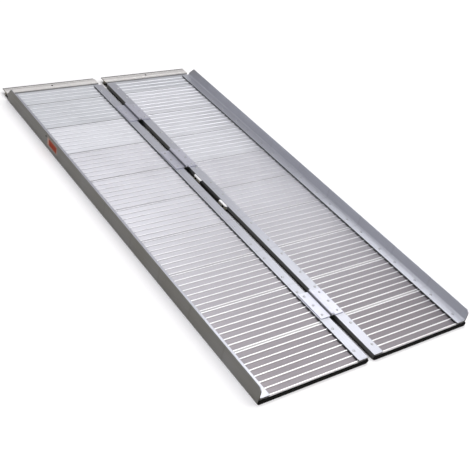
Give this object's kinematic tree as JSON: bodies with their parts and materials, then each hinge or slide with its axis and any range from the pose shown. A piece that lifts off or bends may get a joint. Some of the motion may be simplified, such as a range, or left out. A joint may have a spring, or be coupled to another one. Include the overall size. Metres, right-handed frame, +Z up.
{
  "type": "portable wheelchair ramp",
  "caption": "Aluminium wheelchair ramp of ribbed deck planks between curbed rails, hinged along its centre line to fold like a suitcase, with step lips and a carry handle.",
  "frame": {"origin": "centre of the open ramp's bounding box, at its base: the plane that the rails stand on", "axes": "+X across the ramp to the panel with the handle, +Y along it from the ground end to the lips, +Z up"},
  "size_m": [0.725, 1.53, 0.051],
  "materials": {
    "deck_aluminium": "mill finish, extruded",
    "lip_aluminium": "mill finish, extruded",
    "rail_aluminium": "mill finish, extruded",
    "zinc_steel": "bright zinc plate",
    "chromed_steel": "bright chrome plate",
    "end_rubber": "extruded black rubber",
    "strap_rubber": "moulded black rubber",
    "black_plastic": "moulded black plastic",
    "label_vinyl": "printed vinyl, plain"
  },
  "bodies": {
    "right_panel": {"right_plank_01": "deck_aluminium", "right_plank_02": "deck_aluminium", "right_plank_03": "deck_aluminium", "right_plank_04": "deck_aluminium", "right_plank_05": "deck_aluminium", "right_plank_06": "deck_aluminium", "right_plank_07": "deck_aluminium", "right_plank_08": "deck_aluminium", "right_plank_09": "deck_aluminium", "right_plank_10": "deck_aluminium", "right_inner_rail": "rail_aluminium", "right_outer_rail": "rail_aluminium", "right_lip": "lip_aluminium", "right_end_strip": "end_rubber", "near_hinge_right_leaf": "zinc_steel", "near_hinge_pin": "zinc_steel", "middle_hinge_right_leaf": "zinc_steel", "middle_hinge_pin": "zinc_steel", "far_hinge_right_leaf": "zinc_steel", "far_hinge_pin": "zinc_steel", "handle_strap_near": "strap_rubber", "handle_strap_far": "strap_rubber", "handle_cap_near": "chromed_steel", "handle_cap_far": "chromed_steel", "handle_screw_near": "chromed_steel", "handle_screw_far": "chromed_steel"},
    "left_panel": {"left_plank_01": "deck_aluminium", "left_plank_02": "deck_aluminium", "left_plank_03": "deck_aluminium", "left_plank_04": "deck_aluminium", "left_plank_05": "deck_aluminium", "left_plank_06": "deck_aluminium", "left_plank_07": "deck_aluminium", "left_plank_08": "deck_aluminium", "left_plank_09": "deck_aluminium", "left_plank_10": "deck_aluminium", "left_inner_rail": "rail_aluminium", "left_outer_rail": "rail_aluminium", "left_lip": "lip_aluminium", "left_end_strip": "end_rubber", "side_label": "label_vinyl", "curb_plug": "black_plastic", "near_hinge_left_leaf": "zinc_steel", "middle_hinge_left_leaf": "zinc_steel", "far_hinge_left_leaf": "zinc_steel"},
    "handle_grip": {"handle_grip": "strap_rubber"}
  },
  "joints": [
    {"name": "fold", "type": "hinge", "parent": "right_panel", "child": "left_panel", "pos_m": [0, 0, 0.0229], "axis": [0, 1, 0], "range_deg": [0, 170.8]},
    {"name": "handle_lift", "type": "slide", "parent": "right_panel", "child": "handle_grip", "axis": [-1, 0, 0], "range_m": [0, 0.008], "stiffness_N_per_m": 300}
  ]
}
